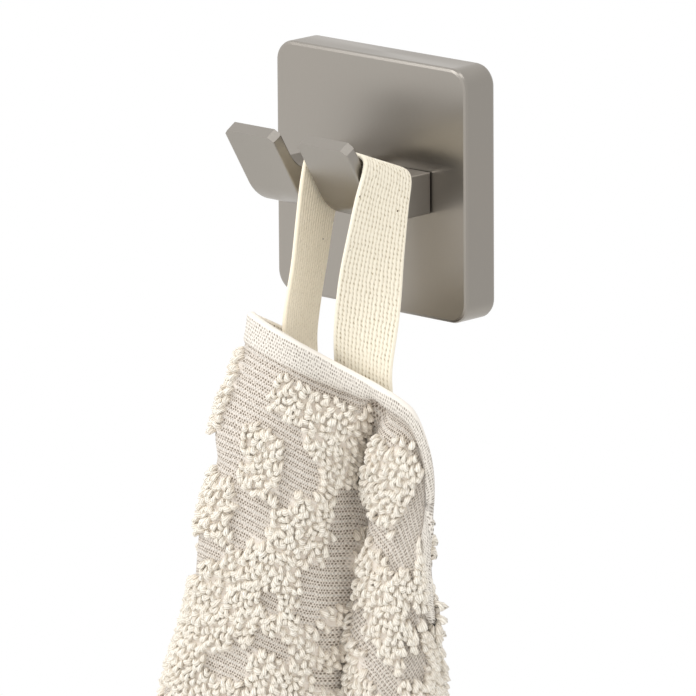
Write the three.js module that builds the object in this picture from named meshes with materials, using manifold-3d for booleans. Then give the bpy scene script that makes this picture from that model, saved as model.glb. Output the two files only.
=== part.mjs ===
// A guest towel hung by its sewn tape loop on a double wall hook.
//
// Millimetres, +Z up. The origin is the centre of the back plate's rear face, which
// lies on the wall plane y = 0. The hooks and the towel stand out towards -Y.
import * as THREE from 'three';
import { mergeVertices } from 'three/addons/utils/BufferGeometryUtils.js';
import Module from 'manifold-3d';

const wasm = await Module();
wasm.setup();

// ---- Driving dimensions ----------------------------------------------------

const GAP = 0.3;

const PLATE = { width: 60, height: 60, thickness: 10, corner: 5, bevel: 0.8 };

const HOOK = {
  width: 15.5,
  spacing: 23,
  halfHeight: 4.85,
  thickness: 3,
  lean: THREE.MathUtils.degToRad(31.3),
  heelReach: 27.6,
  heelRadius: 11.5,
  throatRadius: 10.5,
  tipHeight: 14.3,
  chamfer: 1.4,
  edge: 0.35,
};

const CUT_REACH = 4;

const TAPE = { width: 15, thickness: 1.2, lengthSteps: 56, widthSteps: 4 };

const TOWEL = {
  halfWidth: 150,
  length: 500,
  thickness: 3.6,
  hemDepth: 7,
  hemThickness: 4,
  widthSteps: 58,
  lengthSteps: 32,
  dropRelief: 0.8,
  hemHold: 16,
  stepGrowth: 0.45,
};

// The tape's centre line, from its far end inside the hem, over the right-hand hook
// and down to its near end: x, y, z, the turn of its width away from +Y towards +X,
// and the fall of its inner edge, both in degrees.
const TAPE_ROUTE = [
  [-0.2, -34, -39.5, -12, 0],
  [-0.4, -33.9, -33, -12, 0],
  [0, -33.2, -25, -10, 0],
  [0.8, -31.6, -15, -10, 0],
  [1.2, -30, -5, -8, 4],
  [1.4, -28, 3, -3, 12],
  [1.9, -26.8, 7.3, 0, 19],
  [3.5, -26.2, 9.2, 0, 21],
  [7.5, -26.2, 9.8, 0, 21],
  [11.5, -26.2, 9.9, 0, 21],
  [15.5, -26.2, 9.8, 0, 21],
  [19.5, -26.2, 9.2, 2, 20],
  [21.2, -27.2, 7, 7, 16],
  [21.4, -29.2, 1, 14, 9],
  [21.2, -30.7, -6, 21, 4],
  [20.6, -31.8, -14, 32, 1],
  [19.8, -32.3, -23, 48, 0],
  [18.8, -32.5, -32, 66, 0],
  [18.2, -32.3, -38, 75, 0],
  [18.1, -32, -43.5, 75, 0],
];

// The towel's hem line and hanging folds. STATIONS are distances along the short
// edge from its middle. HEM gives the hem's middle line (x, y, z) at each of them.
const STATIONS = [
  -150, -120, -95, -72, -50, -30, -20, -8, 6, 18, 26, 31, 37, 44, 52, 64, 80, 100, 125, 150,
];
const HEM = [
  [9, -9, -146], [8, -11, -118], [7, -13, -94], [3, -14, -72], [-2, -18, -51.5],
  [-5.5, -26, -36], [-6.5, -35, -30.5], [-7.3, -44.2, -26.2], [6, -43.8, -30.2],
  [14, -38, -35.5], [20.5, -35.4, -38.6], [24.7, -34.4, -40.4], [29.4, -33.1, -42.4],
  [33.4, -31.2, -45.9], [35, -29.2, -52.8], [34, -27, -65], [31, -25.4, -81.5],
  [28.5, -21, -102], [26, -16.5, -126], [23.5, -12.5, -150],
];

// Plan positions (x, y) of the stations where the cloth passes each height.
const FOLDS = [
  {
    height: -60,
    plan: [
      [9, -9], [8, -11], [7, -13], [3, -14], [-3, -18], [-8, -27], [-10, -36], [-10.5, -48],
      [2, -47], [10, -42], [13, -34], [13, -26], [18, -32], [25.5, -31.5], [30, -26.5],
      [30, -24], [30, -23], [28, -20], [26, -16], [23, -12],
    ],
  },
  {
    height: -90,
    plan: [
      [7, -8.5], [5, -10.5], [2, -13.5], [-4, -17], [-10, -25], [-16, -37], [-19, -47],
      [-15.5, -54], [-2, -51], [6.5, -45], [10.5, -37], [11.5, -27.5], [11, -22],
      [14.5, -30.5], [23.5, -31.5], [29, -26], [28.5, -20], [26, -16.5], [24, -14], [22, -12],
    ],
  },
  {
    height: -116,
    plan: [
      [6, -8], [2, -10], [-5, -15], [-13, -24], [-19, -36], [-25, -46], [-25.5, -53.5],
      [-19, -58], [-5.5, -53], [3.5, -46.5], [8, -38], [9, -28], [7.5, -20.5], [11.5, -30],
      [21, -32.4], [28, -27.6], [28.2, -19], [24, -12.4], [23, -12], [22, -11],
    ],
  },
  {
    height: -220,
    plan: [
      [14, -7], [-6, -8], [-16, -21], [-30, -26], [-27, -42], [-36, -54], [-34, -63],
      [-26, -66], [-12, -60], [-3, -53], [2, -47], [5, -42], [7, -35], [9, -27], [16, -31],
      [26, -37], [39, -33], [42, -19], [29, -13], [19, -21],
    ],
  },
  {
    height: -400,
    plan: [
      [20, -7], [-5, -7], [-19, -23], [-36, -19], [-38, -38], [-50, -50], [-48, -60],
      [-39, -67], [-25, -65], [-14, -59], [-8, -52], [-5, -47], [-3, -41], [2, -35], [10, -34],
      [21, -40], [35, -45], [50, -34], [46, -14], [27, -20],
    ],
  },
  {
    height: -600,
    plan: [
      [24, -8], [-2, -7], [-18, -25], [-38, -20], [-42, -40], [-56, -52], [-54, -62],
      [-44, -69], [-29, -67], [-17, -62], [-10, -55], [-7, -49], [-4, -43], [2, -36],
      [10, -34], [22, -41], [37, -47], [54, -36], [50, -14], [29, -19],
    ],
  },
];

// ---- Materials -------------------------------------------------------------

const steel = new THREE.MeshStandardMaterial({ color: 0x97918a, roughness: 0.32, metalness: 1 });
const cottonTape = new THREE.MeshStandardMaterial({ color: 0xe9dfc8, roughness: 0.95, metalness: 0 });
const terry = new THREE.MeshStandardMaterial({ color: 0xdfd6c8, roughness: 1, metalness: 0 });

// ---- Helpers ---------------------------------------------------------------

function named(name, geometry, material) {
  const mesh = new THREE.Mesh(geometry, material);
  mesh.name = name;
  return mesh;
}

function bare(geometry) {
  geometry.deleteAttribute('normal');
  geometry.deleteAttribute('uv');
  return mergeVertices(geometry, 1e-4);
}

function toManifold(geometry) {
  const merged = bare(geometry);
  return new wasm.Manifold(new wasm.Mesh({
    numProp: 3,
    vertProperties: new Float32Array(merged.attributes.position.array),
    triVerts: new Uint32Array(merged.index.array),
  }));
}

function fromManifold(solid) {
  const mesh = solid.getMesh();
  const geometry = new THREE.BufferGeometry();
  geometry.setAttribute('position', new THREE.BufferAttribute(mesh.vertProperties, 3));
  geometry.setIndex(new THREE.BufferAttribute(mesh.triVerts, 1));
  geometry.computeVertexNormals();
  return geometry;
}

// A value on the smooth curve through knots that stand at rising or falling stops.
function curveAt(stops, knots, value) {
  const last = stops.length - 1;
  const sign = Math.sign(stops[last] - stops[0]);
  let i = 0;
  while (i < last - 1 && sign * (value - stops[i + 1]) > 0) i += 1;
  const slope = (k) => {
    const from = Math.max(k - 1, 0);
    const to = Math.min(k + 1, last);
    return (knots[to] - knots[from]) / (stops[to] - stops[from]);
  };
  const gap = stops[i + 1] - stops[i];
  const t = Math.min(Math.max((value - stops[i]) / gap, 0), 1);
  const start = slope(i) * gap;
  const end = slope(i + 1) * gap;
  const rise = knots[i + 1] - knots[i];
  return knots[i] + t * (start + t * (3 * rise - 2 * start - end + t * (start + end - 2 * rise)));
}

// A closed sheet of cloth around a grid of middle points.
function sheetGeometry(grid, thicknessAt) {
  const rows = grid.length;
  const columns = grid[0].length;
  const position = [];
  const index = [];
  const across = new THREE.Vector3();
  const along = new THREE.Vector3();
  for (let i = 0; i < rows; i += 1) {
    for (let j = 0; j < columns; j += 1) {
      across.subVectors(grid[Math.min(i + 1, rows - 1)][j], grid[Math.max(i - 1, 0)][j]);
      along.subVectors(grid[i][Math.min(j + 1, columns - 1)], grid[i][Math.max(j - 1, 0)]);
      const normal = across.clone().cross(along).normalize();
      const half = thicknessAt(i, j) / 2;
      const front = grid[i][j].clone().addScaledVector(normal, half);
      const back = grid[i][j].clone().addScaledVector(normal, -half);
      position.push(...front.toArray(), ...back.toArray());
    }
  }
  const at = (i, j, side) => 2 * (i * columns + j) + side;
  const quad = (a, b, c, d) => index.push(a, b, c, a, c, d);
  for (let i = 0; i < rows - 1; i += 1) {
    for (let j = 0; j < columns - 1; j += 1) {
      quad(at(i, j, 0), at(i + 1, j, 0), at(i + 1, j + 1, 0), at(i, j + 1, 0));
      quad(at(i, j, 1), at(i, j + 1, 1), at(i + 1, j + 1, 1), at(i + 1, j, 1));
    }
  }
  for (let i = 0; i < rows - 1; i += 1) {
    quad(at(i, 0, 0), at(i, 0, 1), at(i + 1, 0, 1), at(i + 1, 0, 0));
    const j = columns - 1;
    quad(at(i, j, 0), at(i + 1, j, 0), at(i + 1, j, 1), at(i, j, 1));
  }
  for (let j = 0; j < columns - 1; j += 1) {
    quad(at(0, j, 0), at(0, j + 1, 0), at(0, j + 1, 1), at(0, j, 1));
    const i = rows - 1;
    quad(at(i, j, 0), at(i, j, 1), at(i, j + 1, 1), at(i, j + 1, 0));
  }
  const geometry = new THREE.BufferGeometry();
  geometry.setAttribute('position', new THREE.Float32BufferAttribute(position, 3));
  geometry.setIndex(index);
  geometry.computeVertexNormals();
  return geometry;
}

// ---- Back plate ------------------------------------------------------------

function roundedSquare(width, height, radius) {
  const shape = new THREE.Shape();
  const x = width / 2 - radius;
  const y = height / 2 - radius;
  shape.absarc(x, y, radius, 0, Math.PI / 2);
  shape.absarc(-x, y, radius, Math.PI / 2, Math.PI);
  shape.absarc(-x, -y, radius, Math.PI, 1.5 * Math.PI);
  shape.absarc(x, -y, radius, 1.5 * Math.PI, 2 * Math.PI);
  shape.closePath();
  return shape;
}

function backPlate() {
  const geometry = new THREE.ExtrudeGeometry(
    roundedSquare(PLATE.width, PLATE.height, PLATE.corner),
    {
      depth: PLATE.thickness - 2 * PLATE.bevel,
      bevelThickness: PLATE.bevel,
      bevelSize: PLATE.bevel,
      bevelOffset: -PLATE.bevel,
      bevelSegments: 2,
      curveSegments: 10,
    },
  );
  geometry.rotateX(Math.PI / 2);
  geometry.translate(0, -PLATE.bevel, 0);
  return named('back_plate', bare(geometry), steel);
}

// ---- Hooks -----------------------------------------------------------------

// Side profile in (reach from the wall, height): the arm, its heel, the leaning
// tongue and the round throat behind it.
function hookProfile() {
  const { lean, halfHeight, heelReach, heelRadius, throatRadius, tipHeight, thickness } = HOOK;
  const turn = Math.PI / 2 - lean;
  const along = new THREE.Vector2(Math.sin(lean), Math.cos(lean));
  const inward = new THREE.Vector2(-along.y, along.x);
  const heel = new THREE.Vector2(heelReach, -halfHeight);
  const tip = heel.clone().addScaledVector(along, (tipHeight + halfHeight) / along.y);
  const tipBack = tip.clone().addScaledVector(inward, thickness);
  const drop = (tipBack.y - halfHeight) / along.y;
  const throat = tipBack.clone().addScaledVector(along, -drop);
  const heelLength = heelRadius * Math.tan(turn / 2);
  const throatLength = throatRadius * Math.tan(turn / 2);
  const shape = new THREE.Shape();
  shape.moveTo(PLATE.thickness + GAP, halfHeight);
  shape.lineTo(PLATE.thickness + GAP, -halfHeight);
  shape.absarc(heel.x - heelLength, heelRadius - halfHeight, heelRadius, -Math.PI / 2, -lean);
  shape.lineTo(tip.x, tip.y);
  shape.lineTo(tipBack.x, tipBack.y);
  shape.absarc(
    throat.x - throatLength, halfHeight + throatRadius, throatRadius, -lean, -Math.PI / 2, true,
  );
  shape.closePath();
  return { shape, tip, along };
}

// A prism that takes one top corner off the tongue. Side is +1 or -1. It reaches
// well past the corner, and through the tongue on both faces.
function cornerCut(side, { tip, along }) {
  const reach = CUT_REACH * HOOK.chamfer;
  const cut = new THREE.Shape();
  cut.moveTo(0, -HOOK.chamfer);
  cut.lineTo(reach, reach - HOOK.chamfer);
  cut.lineTo(-HOOK.chamfer, reach);
  cut.lineTo(-HOOK.chamfer, 0);
  cut.closePath();
  const depth = CUT_REACH * HOOK.thickness;
  const geometry = new THREE.ExtrudeGeometry(cut, { depth, bevelEnabled: false });
  geometry.translate(0, 0, -depth / 2);
  geometry.scale(side, 1, 1);
  if (side < 0) flipFaces(geometry);
  geometry.rotateX(Math.PI / 2 + Math.atan2(along.x, along.y));
  geometry.translate(side * (HOOK.width / 2), -tip.x, tip.y);
  return toManifold(geometry);
}

function flipFaces(geometry) {
  const { array } = geometry.attributes.position;
  for (let i = 0; i < array.length; i += 9) {
    for (let k = 0; k < 3; k += 1) {
      [array[i + k], array[i + 3 + k]] = [array[i + 3 + k], array[i + k]];
    }
  }
}

function hook(name, x) {
  const profile = hookProfile();
  const geometry = new THREE.ExtrudeGeometry(profile.shape, {
    depth: HOOK.width - 2 * HOOK.edge,
    bevelThickness: HOOK.edge,
    bevelSize: HOOK.edge,
    bevelOffset: -HOOK.edge,
    bevelSegments: 2,
    curveSegments: 16,
  });
  geometry.translate(0, 0, HOOK.edge - HOOK.width / 2);
  // (reach, height, across) becomes (x, -y, z): reach runs towards -Y.
  const turn = new THREE.Matrix4().set(
    0, 0, 1, 0,
    -1, 0, 0, 0,
    0, 1, 0, 0,
    0, 0, 0, 1,
  );
  geometry.applyMatrix4(turn);
  if (turn.determinant() < 0) flipFaces(geometry);
  const solid = toManifold(geometry)
    .subtract(cornerCut(1, profile))
    .subtract(cornerCut(-1, profile));
  const mesh = named(name, fromManifold(solid), steel);
  mesh.position.x = x;
  return mesh;
}

// ---- Tape loop -------------------------------------------------------------

function tapePoint(t, s) {
  const stops = TAPE_ROUTE.map((_, k) => k);
  const at = t * (TAPE_ROUTE.length - 1);
  const column = (k) => curveAt(stops, TAPE_ROUTE.map((row) => row[k]), at);
  const [x, y, z, turn, fall] = [0, 1, 2, 3, 4].map(column);
  const yaw = THREE.MathUtils.degToRad(turn);
  const pitch = THREE.MathUtils.degToRad(fall);
  const across = new THREE.Vector3(
    Math.sin(yaw) * Math.cos(pitch),
    Math.cos(yaw) * Math.cos(pitch),
    -Math.sin(pitch),
  );
  return new THREE.Vector3(x, y, z).addScaledVector(across, s * TAPE.width);
}

function tapeLoop() {
  const grid = [];
  for (let i = 0; i <= TAPE.lengthSteps; i += 1) {
    const row = [];
    for (let j = 0; j <= TAPE.widthSteps; j += 1) {
      row.push(tapePoint(i / TAPE.lengthSteps, j / TAPE.widthSteps - 0.5));
    }
    grid.push(row);
  }
  return named('towel_loop', sheetGeometry(grid, () => TAPE.thickness), cottonTape);
}

// ---- Towel -----------------------------------------------------------------

const FOLD_HEIGHTS = FOLDS.map((fold) => fold.height);

function planAt(u, z) {
  return [0, 1].map((k) => {
    const atHeights = FOLDS.map((fold) => curveAt(STATIONS, fold.plan.map((point) => point[k]), u));
    return curveAt(FOLD_HEIGHTS, atHeights, z);
  });
}

// The middle of the cloth at u along the short edge and v down from the hem. The
// corners of the hem fall far below its middle, and the fall fades out towards the
// bottom edge. Near the hem the cloth keeps to the hem's own line.
function towelPoint(u, v) {
  const [hemX, hemY, top] = [0, 1, 2].map((k) => curveAt(STATIONS, HEM.map((point) => point[k]), u));
  const middle = Math.max(...HEM.map((point) => point[2]));
  const relief = TOWEL.dropRelief * (middle - top) / TOWEL.length;
  const z = top - v * (1 - relief);
  const [x, y] = planAt(u, z);
  const hold = Math.exp(-((v / TOWEL.hemHold) ** 2));
  return new THREE.Vector3(x + hold * (hemX - x), y + hold * (hemY - y), z);
}

// Steps down the cloth: two inside the hem, the rest growing towards the bottom.
function stepsDown() {
  const steps = [0, TOWEL.hemDepth / 2, TOWEL.hemDepth];
  const rest = TOWEL.lengthSteps - 2;
  for (let j = 1; j <= rest; j += 1) {
    const even = j / rest;
    const share = even + TOWEL.stepGrowth * (even ** 2 - even);
    steps.push(TOWEL.hemDepth + share * (TOWEL.length - TOWEL.hemDepth));
  }
  return steps;
}

function towel() {
  const downs = stepsDown();
  const grid = [];
  for (let i = 0; i <= TOWEL.widthSteps; i += 1) {
    const u = TOWEL.halfWidth * (2 * i / TOWEL.widthSteps - 1);
    grid.push(downs.map((v) => towelPoint(u, v)));
  }
  const thickness = (i, j) => (downs[j] < TOWEL.hemDepth ? TOWEL.hemThickness : TOWEL.thickness);
  return named('towel', sheetGeometry(grid, thickness), terry);
}

// ---- Assembly --------------------------------------------------------------

const model = new THREE.Group();
model.add(
  backPlate(),
  hook('hook_left', -HOOK.spacing / 2),
  hook('hook_right', HOOK.spacing / 2),
  tapeLoop(),
  towel(),
);

export default model;
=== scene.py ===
"""A guest towel on a double wall hook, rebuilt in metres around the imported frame.

The steel plate and hooks are the CAD nodes with a brushed steel material. The tape
loop and the towel replace their plain CAD solids: the same routes and folds, with the
weave, the hems and the looped pile.
"""
import math

import bpy
import numpy as np
from mathutils import Matrix, Vector


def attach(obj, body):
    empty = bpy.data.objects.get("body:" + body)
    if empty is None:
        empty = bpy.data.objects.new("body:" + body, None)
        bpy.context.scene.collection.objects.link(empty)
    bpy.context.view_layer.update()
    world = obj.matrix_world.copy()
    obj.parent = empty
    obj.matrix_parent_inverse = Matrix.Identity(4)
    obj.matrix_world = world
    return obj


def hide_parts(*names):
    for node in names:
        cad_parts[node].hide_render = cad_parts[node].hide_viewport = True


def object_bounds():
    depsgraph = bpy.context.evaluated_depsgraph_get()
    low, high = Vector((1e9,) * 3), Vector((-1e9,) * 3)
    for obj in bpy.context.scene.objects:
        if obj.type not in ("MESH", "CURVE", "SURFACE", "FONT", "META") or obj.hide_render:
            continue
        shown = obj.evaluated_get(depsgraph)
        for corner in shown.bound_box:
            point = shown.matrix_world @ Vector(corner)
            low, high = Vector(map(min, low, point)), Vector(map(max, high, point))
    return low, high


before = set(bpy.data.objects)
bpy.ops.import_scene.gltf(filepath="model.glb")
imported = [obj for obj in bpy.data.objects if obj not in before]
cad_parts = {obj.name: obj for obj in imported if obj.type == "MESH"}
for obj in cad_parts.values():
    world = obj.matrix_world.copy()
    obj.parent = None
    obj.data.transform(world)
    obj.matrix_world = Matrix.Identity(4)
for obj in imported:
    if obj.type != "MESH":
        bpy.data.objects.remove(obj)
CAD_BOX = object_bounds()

MM = 0.001

# ---- Camera, floor and light --------------------------------------------------

# The view from the front right: its angles, its distance and aim in metres from the
# frame's origin, and its lens in mm.
VIEW = {
    "azimuth": math.radians(42.84),
    "elevation": math.radians(11.99),
    "roll": math.radians(-0.32),
    "distance": 2.045,
    "lens": 454,
    "aim": Vector((-3.3, -14.5, -39.4)) * MM,
}


def camera_frame(azimuth, elevation, roll):
    """The camera's right, up and back axes."""
    back = Vector((
        math.sin(azimuth) * math.cos(elevation),
        -math.cos(azimuth) * math.cos(elevation),
        math.sin(elevation),
    ))
    level = Vector((math.cos(azimuth), math.sin(azimuth), 0))
    upright = back.cross(level)
    right = math.cos(roll) * level + math.sin(roll) * upright
    return right, back.cross(right), back


def make_camera():
    """A long-lens camera, which stands off the frame's origin and looks at the aim."""
    right, up, back = camera_frame(VIEW["azimuth"], VIEW["elevation"], VIEW["roll"])
    place = back * VIEW["distance"]
    back = (place - VIEW["aim"]).normalized()
    right = up.cross(back).normalized()
    up = back.cross(right)
    data = bpy.data.cameras.new("camera")
    data.lens = VIEW["lens"]
    data.sensor_width = 36
    data.clip_end = 50
    camera = bpy.data.objects.new("camera", data)
    turn = Matrix((right, up, back)).transposed().to_4x4()
    camera.matrix_world = Matrix.Translation(place) @ turn
    bpy.context.collection.objects.link(camera)
    bpy.context.scene.camera = camera


def make_floor():
    """A pale round floor a little below the hanging towel."""
    steps = 96
    radius = 0.9
    drop = 0.06
    height = CAD_BOX[0].z - drop
    angles = [2 * math.pi * k / steps for k in range(steps)]
    ring = [(radius * math.cos(angle), radius * math.sin(angle), height) for angle in angles]
    mesh = bpy.data.meshes.new("floor")
    mesh.from_pydata(ring, [], [tuple(range(steps))])
    floor = bpy.data.objects.new("floor", mesh)
    bpy.context.collection.objects.link(floor)
    material = new_material("floor_paint")
    shader = material.node_tree.nodes["Principled BSDF"]
    shader.inputs["Base Color"].default_value = (0.86, 0.86, 0.85, 1)
    shader.inputs["Roughness"].default_value = 0.9
    mesh.materials.append(material)


# The strength of the surround as light, and what each axis adds to it: it is a little
# brighter in front and on the left.
SURROUND_LIGHT = 1.04
BRIGHTER_SIDE = (-0.11, -0.12, 0)


def make_world():
    """A white surround: plain white to the camera, and a little uneven as light."""
    world = bpy.data.worlds.new("studio")
    bpy.context.scene.world = world
    world.use_nodes = True
    tree = world.node_tree
    tree.nodes.clear()
    out = tree.nodes.new("ShaderNodeOutputWorld")
    seen = tree.nodes.new("ShaderNodeBackground")
    seen.inputs["Color"].default_value = (1, 1, 1, 1)
    seen.inputs["Strength"].default_value = 1.0
    light = tree.nodes.new("ShaderNodeBackground")
    light.inputs["Color"].default_value = (1.0, 0.985, 0.965, 1)
    toward = node(tree, "ShaderNodeVectorMath", operation="DOT_PRODUCT")
    tree.links.new(tree.nodes.new("ShaderNodeTexCoord").outputs["Generated"], toward.inputs[0])
    toward.inputs[1].default_value = BRIGHTER_SIDE
    strength = math_node(tree, "ADD", toward.outputs["Value"], SURROUND_LIGHT)
    tree.links.new(strength, light.inputs["Strength"])
    mix = tree.nodes.new("ShaderNodeMixShader")
    path = tree.nodes.new("ShaderNodeLightPath")
    tree.links.new(path.outputs["Is Camera Ray"], mix.inputs["Fac"])
    tree.links.new(light.outputs[0], mix.inputs[1])
    tree.links.new(seen.outputs[0], mix.inputs[2])
    tree.links.new(mix.outputs[0], out.inputs["Surface"])


def area_light(name, place, aim, size, power):
    """A rectangular light at a place, turned to its aim."""
    data = bpy.data.lights.new(name, "AREA")
    data.shape = "RECTANGLE"
    data.size, data.size_y = size
    data.energy = power
    lamp = bpy.data.objects.new(name, data)
    lamp.location = place
    lamp.rotation_mode = "QUATERNION"
    lamp.rotation_quaternion = (Vector(aim) - Vector(place)).to_track_quat("-Z", "Y")
    bpy.context.collection.objects.link(lamp)


def make_lights():
    """A soft key light in front on the left, and a weaker one above."""
    aim = (0, -0.03, -0.1)
    area_light("key", (-0.6, -1.3, 1.1), aim, (0.8, 0.8), 9)
    area_light("top", (0.3, -0.2, 1.3), aim, (0.9, 0.6), 3.2)


# ---- Shader helpers -----------------------------------------------------------


def new_material(name):
    material = bpy.data.materials.new(name)
    material.use_nodes = True
    return material


def node(tree, kind, inputs=(), **settings):
    """A shader node with its settings and inputs: a socket links, a value is set."""
    made = tree.nodes.new(kind)
    for key, value in settings.items():
        setattr(made, key, value)
    for key, value in dict(inputs).items():
        if isinstance(value, bpy.types.NodeSocket):
            tree.links.new(value, made.inputs[key])
        else:
            made.inputs[key].default_value = value
    return made


def math_node(tree, operation, a, b=0.0, clamp=False):
    return node(tree, "ShaderNodeMath", {0: a, 1: b}, operation=operation, use_clamp=clamp).outputs[0]


def multiply_add(tree, a, b, c):
    """a times b, plus c."""
    return node(tree, "ShaderNodeMath", {0: a, 1: b, 2: c}, operation="MULTIPLY_ADD").outputs[0]


def noise(tree, place, scale, detail):
    """Smooth noise from 0 to 1 at each place."""
    inputs = {"Vector": place, "Scale": scale, "Detail": detail}
    return node(tree, "ShaderNodeTexNoise", inputs).outputs["Fac"]


def stretched(tree, place, scale):
    """The place scaled along each axis."""
    return node(tree, "ShaderNodeMapping", {"Vector": place, "Scale": scale}).outputs[0]


def attribute(tree, name):
    """The numbers that the mesh holds under a name."""
    return node(tree, "ShaderNodeAttribute", attribute_name=name).outputs["Fac"]


def add_bump(tree, shader, height, strength, distance):
    inputs = {"Height": height, "Strength": strength, "Distance": distance}
    tree.links.new(node(tree, "ShaderNodeBump", inputs).outputs[0], shader.inputs["Normal"])


def mix_colour(tree, factor, a, b):
    made = node(tree, "ShaderNodeMix", {"Factor": factor}, data_type="RGBA")
    for socket, value in ((made.inputs[6], a), (made.inputs[7], b)):
        if isinstance(value, bpy.types.NodeSocket):
            tree.links.new(value, socket)
        else:
            socket.default_value = value
    return made.outputs[2]


# ---- Steel --------------------------------------------------------------------


# Two tones of the steel's grain and one of its soft blotches of painted reflection, its roughness,
# and how much of it the grain adds.
STEEL_GRAIN = ((0.3, 0.283, 0.258, 1), (0.35, 0.332, 0.305, 1))
STEEL_REFLECTION_TONE = (0.33, 0.306, 0.278, 1)
STEEL_ROUGHNESS = 0.27
GRAIN_ROUGHNESS = 0.1


def steel_material():
    """Satin steel, brushed up and down, with soft blotches of painted reflection: its grain is long
    in z and fine across it.
    """
    material = new_material("satin_steel")
    tree = material.node_tree
    shader = tree.nodes["Principled BSDF"]
    place = node(tree, "ShaderNodeTexCoord").outputs["Object"]
    grain = noise(tree, stretched(tree, place, (9000, 9000, 260)), 1.0, 3.0)
    # Painted reflection: soft blotches of tone that stand for blurred reflections in the steel.
    reflection_blotches = noise(tree, place, 45.0, 2.0)
    tone = mix_colour(tree, grain, *STEEL_GRAIN)
    tone = mix_colour(tree, reflection_blotches, tone, STEEL_REFLECTION_TONE)
    tree.links.new(tone, shader.inputs["Base Color"])
    rough = multiply_add(tree, grain, GRAIN_ROUGHNESS, STEEL_ROUGHNESS)
    tree.links.new(rough, shader.inputs["Roughness"])
    shader.inputs["Metallic"].default_value = 1.0
    shader.inputs["Anisotropic"].default_value = 0.55
    add_bump(tree, shader, grain, 0.12, 0.00004)
    return material


def finish_hardware():
    """Satin steel on the CAD nodes of the plate and the hooks."""
    steel = steel_material()
    for name in ("back_plate", "hook_left", "hook_right"):
        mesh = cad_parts[name].data
        if not mesh.materials:
            mesh.materials.append(steel)
        for slot in range(len(mesh.materials)):
            mesh.materials[slot] = steel


# ---- Curves through listed points -----------------------------------------------


def span_of(stops, value):
    """The span of rising or falling stops that each value is in, and how far along it is."""
    stops = np.asarray(stops, float)
    sign = np.sign(stops[-1] - stops[0])
    i = np.searchsorted(sign * stops, sign * value, side="right") - 1
    i = np.clip(i, 0, len(stops) - 2)
    return i, np.clip((value - stops[i]) / (stops[i + 1] - stops[i]), 0, 1)


def slopes(stops, knots):
    """Slopes of the smooth curve through the knots, one for each."""
    stops = np.asarray(stops, float)
    here = np.arange(len(stops))
    back, ahead = np.maximum(here - 1, 0), np.minimum(here + 1, len(stops) - 1)
    gap = (stops[ahead] - stops[back]).reshape((-1,) + (1,) * (knots.ndim - 1))
    return (knots[ahead] - knots[back]) / gap


def hermite(t, gap, here, there, slope_here, slope_there):
    """Values t of the way along smooth spans from here to there, with a slope at each end."""
    start, end, rise = slope_here * gap, slope_there * gap, there - here
    return here + t * (start + t * (3 * rise - 2 * start - end + t * (start + end - 2 * rise)))


def curve_at(stops, knots, value):
    """Values on the smooth curve through knots (first axis) that stand at stops."""
    knots = np.asarray(knots, float)
    value = np.asarray(value, float)
    tail = (1,) * (knots.ndim - 1)
    i, t = span_of(stops, value)
    slope = slopes(stops, knots)
    gap = np.diff(np.asarray(stops, float))[i].reshape(value.shape + tail)
    return hermite(t.reshape(value.shape + tail), gap, knots[i], knots[i + 1], slope[i], slope[i + 1])


# ---- Tape loop ------------------------------------------------------------------

# The tape in mm. Its strands run lengthwise, with five columns of its mesh to each, and
# the stitches of each strand start a twill step further on than its neighbour's.
TAPE_WIDTH = 15.0
STRANDS = 16
TAPE = {
    "width": TAPE_WIDTH,
    "thickness": 1.15,
    "relief": 0.35,
    "strand": TAPE_WIDTH / STRANDS,
    "stitch": 1.16,
    "twill_step": -0.25,
    "selvedge": 0.6,
    "rows": 300,
    "columns": 5 * STRANDS + 1,
}

# The strap behind the hook has painted light, which makes it lighter and warmer: where it ends and
# how soon it changes, in mm along the tape, how far its stitch holes are taken out, which paints it
# lighter, and how much painted warm light it gets.
FAR_STRAP = {"end": 52.0, "blend": 6.0, "closed": 0.7, "painted_warmth": 0.8}

# Centre line from the far end inside the hem, over the hook and down to the near
# end, in mm: x, y, z, turn of the width from +Y towards +X and fall of its inner
# edge, in degrees.
TAPE_ROUTE = [
    (-0.2, -34, -39.5, -12, 0),
    (-0.4, -33.9, -33, -12, 0),
    (0, -33.2, -25, -10, 0),
    (0.8, -31.6, -15, -10, 0),
    (1.2, -30, -5, -8, 4),
    (1.4, -28, 3, -3, 12),
    (1.9, -26.8, 7.3, 0, 19),
    (3.5, -26.2, 9.2, 0, 21),
    (7.5, -26.2, 9.8, 0, 21),
    (11.5, -26.2, 9.9, 0, 21),
    (15.5, -26.2, 9.8, 0, 21),
    (19.5, -26.2, 9.2, 2, 20),
    (21.2, -27.2, 7, 7, 16),
    (21.4, -29.2, 1, 14, 9),
    (21.2, -30.7, -6, 21, 4),
    (20.6, -31.8, -14, 32, 1),
    (19.8, -32.3, -23, 48, 0),
    (18.8, -32.5, -32, 66, 0),
    (18.2, -32.3, -38, 75, 0),
    (18.1, -32, -43.5, 75, 0),
]

# ---- Towel ----------------------------------------------------------------------

# The flat towel in mm: u runs across it and v down it from the hem. It has a thin ground,
# thicker hems and side hems with rounded edges, and a tuck in which less of the hem shows.
# hem_hold is how far down the hem's own line holds the folds, and drop_relief the share
# of the hem's drop at its corners that the bottom edge doesn't follow.
TOWEL = {
    "half_width": 150.0,
    "length": 500.0,
    "ground": 0.9,
    "hem_depth": 7.0,
    "hem_thickness": 2.3,
    "hem_rounding": 1.1,
    "hem_tuck": 2.8,
    "tuck_middle": 37.0,
    "tuck_half": 16.0,
    "side_hem": 4.0,
    "side_hem_share": 0.7,
    "side_rounding": 0.9,
    "seam_step": 0.12,
    "drop_relief": 0.8,
    "hem_hold": 16.0,
}

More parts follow.
